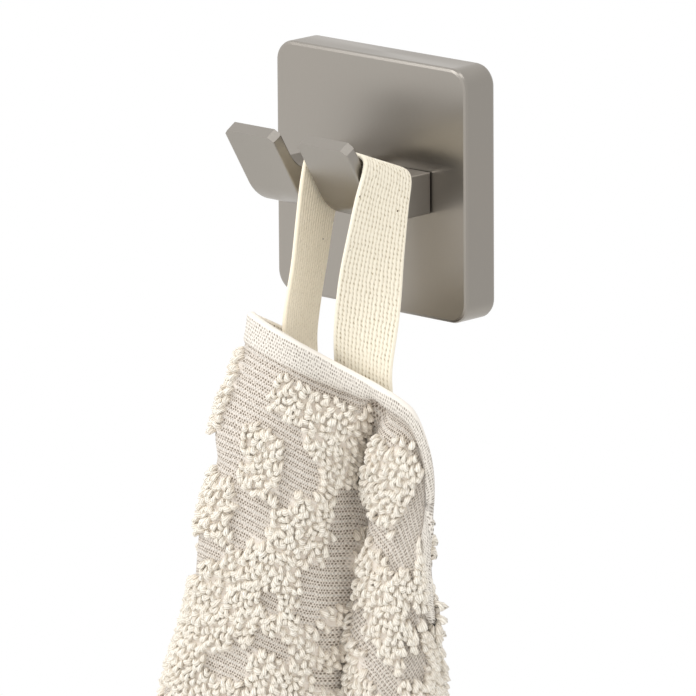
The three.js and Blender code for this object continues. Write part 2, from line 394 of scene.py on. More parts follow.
# The same hem line and hanging folds as the frame's towel, in mm: places u across the
# cloth, the hem's point at each of them, and at each height below it the folds' x and y.
STATIONS = [
    -150, -120, -95, -72, -50, -30, -20, -8, 6, 18, 26, 31, 37, 44, 52, 64, 80, 100, 125, 150,
]
HEM = [
    (9, -9, -146), (8, -11, -118), (7, -13, -94), (3, -14, -72), (-2, -18, -51.5),
    (-5.5, -26, -36), (-6.5, -35, -30.5), (-7.3, -44.2, -26.2), (6, -43.8, -30.2),
    (14, -38, -35.5), (20.5, -35.4, -38.6), (24.7, -34.4, -40.4), (29.4, -33.1, -42.4),
    (33.4, -31.2, -45.9), (35, -29.2, -52.8), (34, -27, -65), (31, -25.4, -81.5),
    (28.5, -21, -102), (26, -16.5, -126), (23.5, -12.5, -150),
]
FOLD_HEIGHTS = [-60, -90, -116, -220, -400, -600]
FOLDS = [
    [
        (9, -9), (8, -11), (7, -13), (3, -14), (-3, -18), (-8, -27), (-10, -36), (-10.5, -48),
        (2, -47), (10, -42), (13, -34), (13, -26), (18, -32), (25.5, -31.5), (30, -26.5),
        (30, -24), (30, -23), (28, -20), (26, -16), (23, -12),
    ],
    [
        (7, -8.5), (5, -10.5), (2, -13.5), (-4, -17), (-10, -25), (-16, -37), (-19, -47),
        (-15.5, -54), (-2, -51), (6.5, -45), (10.5, -37), (11.5, -27.5), (11, -22),
        (14.5, -30.5), (23.5, -31.5), (29, -26), (28.5, -20), (26, -16.5), (24, -14),
        (22, -12),
    ],
    [
        (6, -8), (2, -10), (-5, -15), (-13, -24), (-19, -36), (-25, -46), (-25.5, -53.5),
        (-19, -58), (-5.5, -53), (3.5, -46.5), (8, -38), (9, -28), (7.5, -20.5), (11.5, -30),
        (21, -32.4), (28, -27.6), (28.2, -19), (24, -12.4), (23, -12), (22, -11),
    ],
    [
        (14, -7), (-6, -8), (-16, -21), (-30, -26), (-27, -42), (-36, -54), (-34, -63),
        (-26, -66), (-12, -60), (-3, -53), (2, -47), (5, -42), (7, -35), (9, -27), (16, -31),
        (26, -37), (39, -33), (42, -19), (29, -13), (19, -21),
    ],
    [
        (20, -7), (-5, -7), (-19, -23), (-36, -19), (-38, -38), (-50, -50), (-48, -60),
        (-39, -67), (-25, -65), (-14, -59), (-8, -52), (-5, -47), (-3, -41), (2, -35),
        (10, -34), (21, -40), (35, -45), (50, -34), (46, -14), (27, -20),
    ],
    [
        (24, -8), (-2, -7), (-18, -25), (-38, -20), (-42, -40), (-56, -52), (-54, -62),
        (-44, -69), (-29, -67), (-17, -62), (-10, -55), (-7, -49), (-4, -43), (2, -36),
        (10, -34), (22, -41), (37, -47), (54, -36), (50, -14), (29, -19),
    ],
]

# Soft creases and swells pressed into the folds, in mm: the middle u and v, the half
# size across and down, and the depth inwards, which is negative where it swells out.
CREASES = [
    (30, 11, 2.4, 7, 2.4),
    (30.5, 7.4, 1.8, 1.6, 1.6),
    (29, 42, 3.5, 22, 1.2),
    (22, 7.4, 9, 3.0, 2.8),
    (41, 6.6, 9, 2.8, 2.8),
    (-8.5, 0, 7, 13, 1.2),
    (-9, 28, 12, 8, -2.2),
    (-9, 46, 13, 14, -1.3),
    (-11, 72, 15, 13, 2.2),
    (-6, 100, 15, 12, 0.9),
    (88, 10, 14, 18, 1.6),
]

# The slight unevenness of the whole cloth, in mm: its depth, where it starts below the
# hem, and the size of its swells.
UNEVENNESS = 0.35
UNEVEN_START = 4.0
UNEVEN_SIZE = 7.0


def wander(u, v, phase):
    """A smooth wander between -1 and 1 over the cloth."""
    first = np.sin(0.83 * u + 1.3 * phase) * np.cos(0.71 * v - 0.9 * phase)
    return 0.6 * first + 0.4 * np.sin(1.9 * u - 1.6 * v + 2.1 * phase)


def towel_middle(u, v):
    """Middle points of the creased cloth, in mm, at flat places u and v of one shape."""
    u = np.clip(u, -TOWEL["half_width"], TOWEL["half_width"])
    fade = 1 - np.exp(-((v / UNEVEN_START) ** 2))
    sink = fade * UNEVENNESS * wander(u / UNEVEN_SIZE, v / UNEVEN_SIZE, 3.0)
    for middle_u, middle_v, half_u, half_v, depth in CREASES:
        distance = ((u - middle_u) / half_u) ** 2 + ((v - middle_v) / half_v) ** 2
        sink = sink + depth * np.exp(-distance)
    normal = surface_frame(hanging_folds, u, v)[2]
    return hanging_folds(u, v) - normal * sink[..., None]


def pick_rows(rows, chosen):
    """From each column of rows of points, the row that is chosen for it."""
    return np.take_along_axis(rows, chosen[None, ..., None], 0)[0]


def hanging_folds(u, v):
    """Middle points of the cloth before its creases, as in the frame."""
    hem = curve_at(STATIONS, HEM, u)
    top = hem[..., 2]
    middle = max(point[2] for point in HEM)
    relief = TOWEL["drop_relief"] * (middle - top) / TOWEL["length"]
    z = top - v * (1 - relief)
    levels = np.stack([curve_at(STATIONS, plan, u) for plan in FOLDS])
    slope = slopes(FOLD_HEIGHTS, levels)
    i, t = span_of(FOLD_HEIGHTS, z)
    gap = np.diff(np.asarray(FOLD_HEIGHTS, float))[i][..., None]
    plan = hermite(
        t[..., None], gap, pick_rows(levels, i), pick_rows(levels, i + 1),
        pick_rows(slope, i), pick_rows(slope, i + 1),
    )
    hold = np.exp(-((v / TOWEL["hem_hold"]) ** 2))[..., None]
    plan = plan + hold * (hem[..., :2] - plan)
    return np.concatenate([plan, z[..., None]], -1)


def surface_frame(middle, u, v, step=0.5):
    """Unit tangents across and down and the outward normal of the cloth that middle shapes."""
    across = middle(u + step, v) - middle(u - step, v)
    down = middle(u, v + step) - middle(u, np.maximum(v - step, 0))
    across /= np.linalg.norm(across, axis=-1, keepdims=True)
    down /= np.linalg.norm(down, axis=-1, keepdims=True)
    normal = np.cross(down, across)
    normal /= np.linalg.norm(normal, axis=-1, keepdims=True)
    return across, down, normal


# ---- Meshes from grids ------------------------------------------------------------


def add_piece(name, points, faces, material, uv=None, **shades):
    """A smooth-shaded mesh from points in mm and arrays of equal-sided faces.

    uv holds a flat place for each point, or for each corner of the faces in turn.
    Each of the shades holds a number for each point, which a material reads by its name.
    """
    mesh = bpy.data.meshes.new(name)
    points = np.asarray(points, np.float32).reshape(-1, 3) * MM
    corners = np.concatenate([group.ravel() for group in faces]).astype(np.int32)
    sides = np.concatenate([np.full(len(group), group.shape[1]) for group in faces])
    starts = np.concatenate([[0], np.cumsum(sides)[:-1]]).astype(np.int32)
    mesh.vertices.add(len(points))
    mesh.vertices.foreach_set("co", points.ravel())
    mesh.loops.add(len(corners))
    mesh.loops.foreach_set("vertex_index", corners)
    mesh.polygons.add(len(sides))
    mesh.polygons.foreach_set("loop_start", starts)
    mesh.polygons.foreach_set("use_smooth", np.full(len(sides), True))
    mesh.update(calc_edges=True)
    if uv is not None:
        uv = np.asarray(uv, np.float32).reshape(-1, 2)
        if len(uv) != len(corners):
            uv = uv[corners]
        mesh.uv_layers.new(name="flat").data.foreach_set("uv", uv.ravel())
    for shade_name, values in shades.items():
        shade = mesh.attributes.new(shade_name, "FLOAT", "POINT")
        shade.data.foreach_set("value", np.asarray(values, np.float32).ravel())
    mesh.materials.append(material)
    piece = bpy.data.objects.new(name, mesh)
    bpy.context.collection.objects.link(piece)
    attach(piece, "root")
    return piece


def closed_sheet(front, back):
    """Points and quads of a closed sheet between two grids of equal shape."""
    rows, columns = front.shape[:2]
    points = np.concatenate([front.reshape(-1, 3), back.reshape(-1, 3)])
    index = np.arange(rows * columns).reshape(rows, columns)
    other = index + rows * columns
    quads = [
        np.stack([index[:-1, :-1], index[:-1, 1:], index[1:, 1:], index[1:, :-1]], -1),
        np.stack([other[:-1, :-1], other[1:, :-1], other[1:, 1:], other[:-1, 1:]], -1),
    ]
    strips = [
        (index[0], other[0], False),
        (index[-1], other[-1], True),
        (index[:, 0], other[:, 0], True),
        (index[:, -1], other[:, -1], False),
    ]
    for near, far, flip in strips:
        strip = np.stack([near[:-1], far[:-1], far[1:], near[1:]], -1)
        quads.append(strip[:, ::-1] if flip else strip)
    return points, [np.concatenate([q.reshape(-1, 4) for q in quads])]


# ---- Cloth materials ---------------------------------------------------------------


# Pitches of the ground weave in mm: its lengthwise ends, its cross picks and the picks of
# the hem, with the depth of the hem's edge that has no holes and how far its rows wander.
WEAVE = {"end": 0.64, "pick": 0.6, "hem_pick": 0.84, "plain_edge": 0.7, "wander": 0.7}

# The pinholes between them: how strong they are in the cloth, how much less so in the
# hem, the noise below which a hole closes up, and how narrow they are.
PINHOLES = {"strength": 5.4, "less_in_hem": 2.3, "closed": 0.27, "narrow": 2.0}

# The pale wefts: how many picks apart and how narrow they are, how whole the noise leaves
# them, how much they lighten the cloth and how much they stand out.
WEFTS = {"every": 3.0, "narrow": 22.0, "whole": 1.7, "lighten": 0.7, "height": 0.6}

GROUND_COLOUR = (0.78, 0.715, 0.645, 1)
HEM_COLOUR = (0.85, 0.81, 0.75, 1)
PINHOLE_COLOUR = (0.22, 0.18, 0.135, 1)
WEFT_COLOUR = (0.96, 0.93, 0.88, 1)

# The yarn of the pile: the ridges round it, how they turn along it and how broad they are,
# and its colours in the grooves and on the ridges, and the colour of the painted shade at the
# foot of a loop and in the deep crease, which the dimmer loops also take some of.
YARN = {"ridges": 6.0, "twist": 2.4, "broad": 0.5}
GROOVE_COLOUR = (0.8, 0.735, 0.64, 1)
RIDGE_COLOUR = (0.975, 0.94, 0.86, 1)
DIM_LOOP_AND_SHADE_COLOUR = (0.82, 0.73, 0.61, 1)


def cloth_material(name):
    """Matt cotton, with the flat map in mm for its weave."""
    material = new_material(name)
    tree = material.node_tree
    shader = tree.nodes["Principled BSDF"]
    shader.inputs["Roughness"].default_value = 0.95
    shader.inputs["Sheen Weight"].default_value = 0.15
    shader.inputs["Sheen Roughness"].default_value = 0.5
    flat = node(tree, "ShaderNodeUVMap", uv_map="flat").outputs[0]
    return material, tree, shader, flat


def ridge(tree, turns, phase):
    """Ridges from 0 to 1, one for each turn, highest where turns + phase is a half."""
    shifted = math_node(tree, "ADD", turns, phase)
    half_wave = math_node(tree, "SINE", math_node(tree, "MULTIPLY", shifted, math.pi))
    return math_node(tree, "ABSOLUTE", half_wave)


def weave_turns(tree, across, down, in_hem, wobble):
    """How many ends and picks of the ground weave lie before a place."""
    end = math_node(tree, "DIVIDE", math_node(tree, "ADD", across, wobble), WEAVE["end"])
    pitch = multiply_add(tree, in_hem, WEAVE["hem_pick"] - WEAVE["pick"], WEAVE["pick"])
    pick = math_node(tree, "ADD", down, math_node(tree, "MULTIPLY", wobble, 0.6))
    pick = math_node(tree, "DIVIDE", pick, pitch)
    stagger = math_node(tree, "MODULO", math_node(tree, "FLOOR", pick), 2.0)
    end = math_node(tree, "ADD", end, math_node(tree, "MULTIPLY", stagger, 0.5))
    return end, pick


def pinholes(tree, end, pick, in_hem, speck):
    """Dark holes in staggered rows, from 0 to 1, some of them closed up."""
    hole = math_node(tree, "POWER", ridge(tree, end, 0.5), PINHOLES["narrow"])
    hole = math_node(tree, "MULTIPLY", hole, ridge(tree, pick, 1.0))
    depth = math_node(tree, "SUBTRACT", speck, PINHOLES["closed"])
    hole = math_node(tree, "MULTIPLY", hole, depth)
    less = math_node(tree, "MULTIPLY", in_hem, PINHOLES["less_in_hem"])
    strength = math_node(tree, "SUBTRACT", PINHOLES["strength"], less)
    return math_node(tree, "MULTIPLY", hole, strength, clamp=True)


def pale_wefts(tree, pick, in_hem, speck):
    """Narrow pale wefts outside the hems, from 0 to 1, broken up by the noise."""
    turns = math_node(tree, "DIVIDE", pick, WEFTS["every"])
    weft = math_node(tree, "POWER", ridge(tree, turns, 0.0), WEFTS["narrow"])
    weft = math_node(tree, "MULTIPLY", weft, math_node(tree, "SUBTRACT", 1.0, in_hem))
    broken = math_node(tree, "MULTIPLY", speck, WEFTS["whole"], clamp=True)
    return math_node(tree, "MULTIPLY", weft, broken)


def ground_material():
    """The ground weave: staggered pinholes and pale wefts, with no holes under the pile.

    The mesh says where it lies in a hem and where it is a bed for the pile.
    """
    material, tree, shader, flat = cloth_material("terry_ground")
    split = node(tree, "ShaderNodeSeparateXYZ", {0: flat})
    across, down = split.outputs[0], split.outputs[1]
    wobble = math_node(tree, "MULTIPLY", noise(tree, flat, 0.5, 1.0), WEAVE["wander"])
    speck = noise(tree, flat, 1.7, 2.0)
    in_hem = math_node(tree, "LESS_THAN", attribute(tree, "hem"), 1.0)
    end, pick = weave_turns(tree, across, down, in_hem, wobble)
    hole = pinholes(tree, end, pick, in_hem, speck)
    past_edge = math_node(tree, "GREATER_THAN", down, WEAVE["plain_edge"])
    hole = math_node(tree, "MULTIPLY", hole, past_edge)
    no_bed = math_node(tree, "SUBTRACT", 1.0, attribute(tree, "bed"))
    hole = math_node(tree, "MULTIPLY", hole, no_bed)
    weft = pale_wefts(tree, pick, in_hem, speck)
    cord = math_node(tree, "SUBTRACT", 1.0, hole)
    base = mix_colour(tree, in_hem, GROUND_COLOUR, HEM_COLOUR)
    tone = mix_colour(tree, cord, PINHOLE_COLOUR, base)
    lighten = math_node(tree, "MULTIPLY", weft, WEFTS["lighten"])
    tone = mix_colour(tree, lighten, tone, WEFT_COLOUR)
    tree.links.new(tone, shader.inputs["Base Color"])
    height = math_node(tree, "ADD", cord, math_node(tree, "MULTIPLY", weft, WEFTS["height"]))
    add_bump(tree, shader, height, 0.8, 0.0002)
    return material


def pile_material():
    """Soft ridged cotton yarn: the flat map gives the turn round it and the way along."""
    material = new_material("terry_pile")
    tree = material.node_tree
    shader = tree.nodes["Principled BSDF"]
    shader.inputs["Roughness"].default_value = 0.95
    shader.inputs["Sheen Weight"].default_value = 0.2
    yarn = node(tree, "ShaderNodeUVMap", uv_map="flat").outputs[0]
    split = node(tree, "ShaderNodeSeparateXYZ", {0: yarn})
    turns = math_node(tree, "MULTIPLY", split.outputs[0], YARN["ridges"])
    twist = math_node(tree, "MULTIPLY", split.outputs[1], YARN["twist"])
    ply = math_node(tree, "FRACT", math_node(tree, "ADD", turns, twist))
    ply = math_node(tree, "SINE", math_node(tree, "MULTIPLY", ply, math.pi))
    ply = math_node(tree, "POWER", ply, YARN["broad"])
    tone = mix_colour(tree, ply, GROOVE_COLOUR, RIDGE_COLOUR)
    # Painted shade: each loop is darker towards its feet and in the deep crease; some loops are also
    # dimmer at random.
    tone = mix_colour(tree, attribute(tree, "tint"), DIM_LOOP_AND_SHADE_COLOUR, tone)
    tree.links.new(tone, shader.inputs["Base Color"])
    add_bump(tree, shader, ply, 0.7, 0.0003)
    return material


# The look of the tape: how far its strands sway in mm, how narrow the dark stitches and
# the gaps between the strands are, how dark a gap is and what a stitch adds to it, the
# noise below which a stitch closes up and how strong the others are, and the mm from the
# middle past which the edge is plain.
TAPE_LOOK = {
    "sway": 0.9,
    "stitch_narrow": 5.0,
    "gap_narrow": 1.3,
    "gap_dark": 0.2,
    "stitch_dark": 0.75,
    "closed": 0.3,
    "strength": 4.0,
    "plain_edge": 7.2,
}
TAPE_FIBRES = ((0.84, 0.755, 0.59, 1), (0.985, 0.955, 0.845, 1))
# The warm colour of the painted light on the strap behind the hook.
FAR_TAPE_LIGHT_COLOUR = (1.0, 0.905, 0.72, 1)
STITCH_COLOUR = (0.36, 0.28, 0.15, 1)
FLECK_COLOUR = (0.12, 0.08, 0.04, 1)
FLECK_SIZE = 0.05


def stitch_shade(tree, across, run, flat):
    """How dark the gaps between the strands and the stitches in them are, from 0 to 1."""
    drift = math_node(tree, "SUBTRACT", noise(tree, flat, 0.45, 1.0), 0.5)
    drift = math_node(tree, "MULTIPLY", drift, TAPE_LOOK["sway"])
    strand = math_node(tree, "DIVIDE", math_node(tree, "ADD", across, drift), TAPE["strand"])
    shift = math_node(tree, "MULTIPLY", math_node(tree, "FLOOR", strand), TAPE["twill_step"])
    stitch = math_node(tree, "ADD", math_node(tree, "DIVIDE", run, TAPE["stitch"]), shift)
    gap = math_node(tree, "SUBTRACT", 1.0, ridge(tree, strand, 0.0))
    hole = math_node(tree, "POWER", ridge(tree, stitch, 0.0), TAPE_LOOK["stitch_narrow"])
    depth = math_node(tree, "SUBTRACT", noise(tree, flat, 1.1, 2.0), TAPE_LOOK["closed"])
    depth = math_node(tree, "MULTIPLY", depth, TAPE_LOOK["strength"])
    hole = math_node(tree, "MULTIPLY", hole, depth)
    shade = multiply_add(tree, hole, TAPE_LOOK["stitch_dark"], TAPE_LOOK["gap_dark"])
    narrow_gap = math_node(tree, "POWER", gap, TAPE_LOOK["gap_narrow"])
    shade = math_node(tree, "MULTIPLY", narrow_gap, shade, clamp=True)
    from_middle = math_node(tree, "ABSOLUTE", across)
    woven = math_node(tree, "LESS_THAN", from_middle, TAPE_LOOK["plain_edge"])
    return math_node(tree, "MULTIPLY", shade, woven)


def tape_material():
    """Unbleached twill tape: lengthwise strands with a stitch hole between them in turn, and painted
    light that makes the strap behind the hook lighter and warmer.
    """
    material, tree, shader, flat = cloth_material("tape_twill")
    split = node(tree, "ShaderNodeSeparateXYZ", {0: flat})
    across, run = split.outputs[0], split.outputs[1]
    # Painted light on the strap behind the hook: fewer stitch holes, and a warmer colour.
    before_hook = math_node(tree, "SUBTRACT", FAR_STRAP["end"], run)
    far = math_node(tree, "DIVIDE", before_hook, FAR_STRAP["blend"], clamp=True)
    closed = math_node(tree, "MULTIPLY", far, FAR_STRAP["closed"])
    shade = stitch_shade(tree, across, run, flat)
    shade = math_node(tree, "MULTIPLY", shade, math_node(tree, "SUBTRACT", 1.0, closed))
    cells = node(tree, "ShaderNodeTexVoronoi", {"Vector": flat, "Scale": 0.2, "Randomness": 1.0})
    fleck = math_node(tree, "LESS_THAN", cells.outputs["Distance"], FLECK_SIZE)
    fibre = noise(tree, stretched(tree, flat, (6.0, 1.2, 1.0)), 1.0, 3.0)
    light = mix_colour(tree, fibre, *TAPE_FIBRES)
    painted_warmth = math_node(tree, "MULTIPLY", far, FAR_STRAP["painted_warmth"])
    light = mix_colour(tree, painted_warmth, light, FAR_TAPE_LIGHT_COLOUR)
    tone = mix_colour(tree, shade, light, STITCH_COLOUR)
    tone = mix_colour(tree, fleck, tone, FLECK_COLOUR)
    tree.links.new(tone, shader.inputs["Base Color"])
    add_bump(tree, shader, math_node(tree, "SUBTRACT", fibre, shade), 0.6, 0.0002)
    return material


# ---- Where the pile stands -----------------------------------------------------------

# Where the pile stands on the front of the cloth, in blocks of 5 mm: columns run from
# the chart's left edge towards +u and rows down from the hem. The chart repeats both ways,
# with each repeat across moved up by CHART_RISE. The reverse has its pile where the front
# has none.
CHART = """
.##..#####..##....##....
.##..#####.###....###...
###....###.###..#.####..
###.##..##.###..##..####
#...##..#......##...###.
....##.##....###.##...##
.###..###.##.####.###...
####..###.##.###..####..
####.###..#...##.#..##.#
#...####...##...###..###
...###.#.#####..####..##
.########.##.###..##....
######..##..####...##.##
#####.###..##.####..####
####..####.##..####..##.
.######.###..##.####...#
..####...###.###..###...
##..###.##.###.###.###.#
###...###..##..####..###
.###.###..##.##..###..##
""".split()
BLOCK = 5.0
CHART_LEFT = -20.0
CHART_TOP = 7.0
CHART_RISE = 35.0
BLOCK_WANDER = 0.7


def has_pile(u, v):
    """Whether the front of the cloth has pile at u and v."""
    column = (u + BLOCK_WANDER * wander(u, v, 1.0) - CHART_LEFT) / BLOCK
    rise = np.floor(column / len(CHART[0])) * CHART_RISE
    row = (v + BLOCK_WANDER * wander(u, v, 2.0) - CHART_TOP + rise) / BLOCK
    marks = np.array([[mark == "#" for mark in line] for line in CHART])
    i = np.floor(row).astype(int) % marks.shape[0]
    j = np.floor(column).astype(int) % marks.shape[1]
    return marks[i, j]


# ---- Building the cloth ------------------------------------------------------------

# The parts of the cloth in mm: its finer middle across, its finer upper part and its lower
# part down, between the hems, and how far the pile reaches to each side.
MIDDLE = (-30.0, 95.0)
UPPER = (8.3, 105.0)
LOWER = (105.0, 491.5)
PILE_HALF_WIDTH = 145.5

# The steps of the cloth's mesh across and down it, in those finer parts and elsewhere.
FINE_STEP = {"across": 1.25, "down": 1.5}
WIDE_STEP = {"across": 2.6, "down": 4.0}

# How far the feet of the loops raise the cloth between them, in mm, and how far below the
# top of a block that starts, because its first loops fall away from it.
PILE_BED = 0.75
BED_START = 1.0


def towel_steps():
    """Rows down the cloth, close together in the hems."""
    hem = TOWEL["hem_depth"]
    edge = np.array([0, 0.15, 0.45, 0.9, 1.6, 2.6, 3.8, 5.0, 6.0, 6.6, 7.0, 7.4, 8.0, 9.2])
    upper = np.arange(10.6, UPPER[1], FINE_STEP["down"])
    lower = np.arange(UPPER[1] + 2, TOWEL["length"] - 11, WIDE_STEP["down"])
    return np.concatenate([edge, upper, lower, (TOWEL["length"] - edge)[::-1]])


def towel_columns():
    """Columns across the cloth, close together in the side hems."""
    half = TOWEL["half_width"]
    edge = np.array([0, 0.3, 1.0, 2.5, 3.6, 4.0, 4.4, 5.5])
    left = np.arange(-half + 8, MIDDLE[0] - 1, WIDE_STEP["across"])
    middle = np.arange(*MIDDLE, FINE_STEP["across"])
    right = np.arange(MIDDLE[1] + 1.5, half - 7, WIDE_STEP["across"])
    return np.concatenate([-half + edge, left, middle, right, (half - edge)[::-1]])


def hem_place(u, v):
    """How far through the top or bottom hem a place lies: 0 at its edge and 1 at its seam."""
    from_tuck = (u - TOWEL["tuck_middle"]) / TOWEL["tuck_half"]
    top_depth = TOWEL["hem_depth"] - TOWEL["hem_tuck"] * np.exp(-(from_tuck ** 2))
    return np.minimum(v / top_depth, (TOWEL["length"] - v) / TOWEL["hem_depth"])


def band(distance, depth):
    """1 in a hem's band, falling to 0 past it."""
    return 1 / (1 + np.exp((distance - depth) / TOWEL["seam_step"]))


def round_edge(distance, radius):
    """The share of the full thickness at a distance from a rounded edge."""
    near = np.clip(1 - distance / radius, 0, 1)
    return np.sqrt(np.clip(1 - near ** 2, 0.02, 1))


def in_pile_field(u, v):
    """Whether u and v lie inside the hems, where pile may stand."""
    return (np.abs(u) < PILE_HALF_WIDTH) & (v > UPPER[0]) & (v < LOWER[1])


def towel_half_thickness(u, v):
    from_end = np.minimum(v, TOWEL["length"] - v)
    from_side = TOWEL["half_width"] - np.abs(u)
    hem = band(hem_place(u, v) * TOWEL["hem_depth"], TOWEL["hem_depth"])
    side = TOWEL["side_hem_share"] * band(from_side, TOWEL["side_hem"])
    full = TOWEL["ground"] + (TOWEL["hem_thickness"] - TOWEL["ground"]) * np.maximum(hem, side)
    end_edge = round_edge(from_end, TOWEL["hem_rounding"])
    return 0.5 * full * end_edge * round_edge(from_side, TOWEL["side_rounding"])


def build_ground(material):
    """The cloth without its loops, raised a little where they stand."""
    u, v = np.meshgrid(towel_columns(), towel_steps(), indexing="ij")
    middle = towel_middle(u, v)
    normal = surface_frame(towel_middle, u, v)[2]
    half = towel_half_thickness(u, v)[..., None]
    here, above = has_pile(u, v), has_pile(u, v - BED_START)
    front_bed = here & above & in_pile_field(u, v - BED_START)
    back_bed = ~here & ~above & in_pile_field(u, v - BED_START)
    front = middle + normal * (half + PILE_BED * front_bed[..., None])
    back = middle - normal * (half + PILE_BED * back_bed[..., None])
    points, quads = closed_sheet(front, back)
    uv = np.stack([u, v], -1).reshape(-1, 2)
    piece = add_piece(
        "towel_cloth", points, quads, material, uv=np.concatenate([uv, uv]),
        bed=np.concatenate([front_bed.ravel(), back_bed.ravel()]),
        hem=np.tile(hem_place(u, v).ravel(), 2),
    )
    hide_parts("towel")
    return piece


def tape_middle(s, w):
    """Middle points of the tape at fractional route index s and width place w, in mm."""
    route = curve_at(range(len(TAPE_ROUTE)), TAPE_ROUTE, s)
    yaw, pitch = np.radians(route[..., 3]), np.radians(route[..., 4])
    across = np.stack(
        [np.sin(yaw) * np.cos(pitch), np.cos(yaw) * np.cos(pitch), -np.sin(pitch)], -1
    )
    return route[..., :3] + across * w[..., None]


def tape_relief(w):
    """Height from 0 to 1 of the strands at w across the tape."""
    place = w / TAPE["strand"]
    return np.clip(1 - (2 * (place - np.floor(place)) - 1) ** 2, 0, 1) ** 0.25


def build_tape(material):
    """The tape with its strands and rounded selvedges, and its length in mm."""
    half = TAPE["width"] / 2
    s, w = np.meshgrid(
        np.linspace(0, len(TAPE_ROUTE) - 1, TAPE["rows"]),
        np.linspace(-half, half, TAPE["columns"]),
        indexing="ij",
    )
    middle = tape_middle(s, w)
    along = np.gradient(middle, axis=0)
    normal = np.cross(np.gradient(middle, axis=1), along)
    normal /= np.linalg.norm(normal, axis=-1, keepdims=True)
    step = np.linalg.norm(along, axis=-1)[:, TAPE["columns"] // 2]
    run = np.concatenate([[0], np.cumsum((step[1:] + step[:-1]) / 2)])
    run = np.broadcast_to(run[:, None], w.shape)
    relief = tape_relief(w)
    selvedge = np.clip((np.abs(w) - half + TAPE["selvedge"]) / TAPE["selvedge"], 0, 1)
    rounding = np.sqrt(np.clip(1 - selvedge ** 2, 0.04, 1))
    thickness = TAPE["thickness"] - TAPE["relief"] * (1 - relief)
    depth = (thickness / 2 * rounding)[..., None]
    points, quads = closed_sheet(middle + normal * depth, middle - normal * depth)
    uv = np.stack([w, run], -1).reshape(-1, 2)
    piece = add_piece("tape_loop", points, quads, material, uv=np.concatenate([uv, uv]))
    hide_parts("towel_loop")
    return piece, run[-1, 0]


# ---- Looped pile ---------------------------------------------------------------------

# The loops, finer on the upper front, which is seen close up: the pitch across and down
# the cloth, the yarn radius and the height in mm, the rings along the yarn and the sides
# round it, the spread of the loops' turns out of line in radians, and their fall in mm.
FINE_LOOPS = dict(
    pitch=(1.3, 1.72), radius=0.61, height=2.05, rings=7, sides=8, turn=0.85, fall=(0.4, 1.3)
)
UPPER_LOOPS = dict(
    pitch=(2.0, 2.6), radius=0.9, height=2.3, rings=5, sides=4, turn=0.75, fall=(0.3, 0.9)
)
LOWER_LOOPS = dict(
    pitch=(2.7, 3.5), radius=1.15, height=2.3, rings=4, sides=3, turn=0.75, fall=(0.3, 0.9)
)

# Each part of the pile: the side it stands on, its spans across and down the cloth, and
# its loops. The two parts with fine loops meet at SPLIT.
SPLIT = 28
FULL_WIDTH = [(-PILE_HALF_WIDTH, PILE_HALF_WIDTH)]
OUTER_WIDTHS = [(-PILE_HALF_WIDTH, MIDDLE[0]), (MIDDLE[1], PILE_HALF_WIDTH)]
PILE_PARTS = {
    "pile_front_middle": dict(side=1, across=[(MIDDLE[0], SPLIT)], down=UPPER, loops=FINE_LOOPS),
    "pile_front_right": dict(side=1, across=[(SPLIT, MIDDLE[1])], down=UPPER, loops=FINE_LOOPS),
    "pile_front_edges": dict(side=1, across=OUTER_WIDTHS, down=UPPER, loops=UPPER_LOOPS),
    "pile_front_lower": dict(side=1, across=FULL_WIDTH, down=LOWER, loops=LOWER_LOOPS),
    "pile_back_upper": dict(side=-1, across=FULL_WIDTH, down=UPPER, loops=UPPER_LOOPS),
    "pile_back_lower": dict(side=-1, across=FULL_WIDTH, down=LOWER, loops=LOWER_LOOPS),
}

# How the loops differ: jitter as a share of their pitch, the span between their feet as a
# share of REACH pitches, height and yarn as shares of their own, lean in mm, brightness.
VARY = {
    "jitter": 0.2,
    "span": (0.55, 1.05),
    "height": (0.86, 1.14),
    "lean": (0.1, 0.85),
    "yarn": (0.86, 1.16),
    "bright": (0.62, 1.0),
}
REACH = 0.75

# The arch of a loop: how full its top is, how far it bows out past its feet, how much of
# the lean is kept for its top, the share of the yarn left at its feet, and the share of the
# brightness that painted shade leaves at its feet.
ARCH = {"full": 0.75, "bow": 0.16, "lean_high": 1.6, "foot_yarn": 0.72, "shaded_foot_bright": 0.2}

# The ply lobes of the yarn: their turns along a loop and their share of its radius.
PLY_TWIST = 0.4
PLY_LOBE = 0.2

# Painted shade in the deep crease below the hem, where the pile is painted darker: its u and
# half width, its lower end and the share of the brightness that it takes.
CREASE_SHADE = dict(middle=29.3, half=3.2, end=75.0, share=0.55)


def loop_places(rng, part):
    """Flat places u and v of the loops of one part of the pile, in jittered columns."""
    places = []
    pitch_across, pitch_down = part["loops"]["pitch"]
    for start, end in part["across"]:
        u = np.arange(start, end, pitch_across) + pitch_across / 2
        v = np.arange(*part["down"], pitch_down) + pitch_down / 2
        u, v = np.meshgrid(u, v, indexing="ij")
        v = v + pitch_down / 2 * (np.arange(u.shape[0]) % 2)[:, None]
        u = u + rng.uniform(-VARY["jitter"], VARY["jitter"], u.shape) * pitch_across
        v = v + rng.uniform(-VARY["jitter"], VARY["jitter"], v.shape) * pitch_down
        places.append(np.stack([u.ravel(), v.ravel()]))
    u, v = np.concatenate(places, axis=1)
    keep = has_pile(u, v) == (part["side"] > 0)
    return u[keep], v[keep]


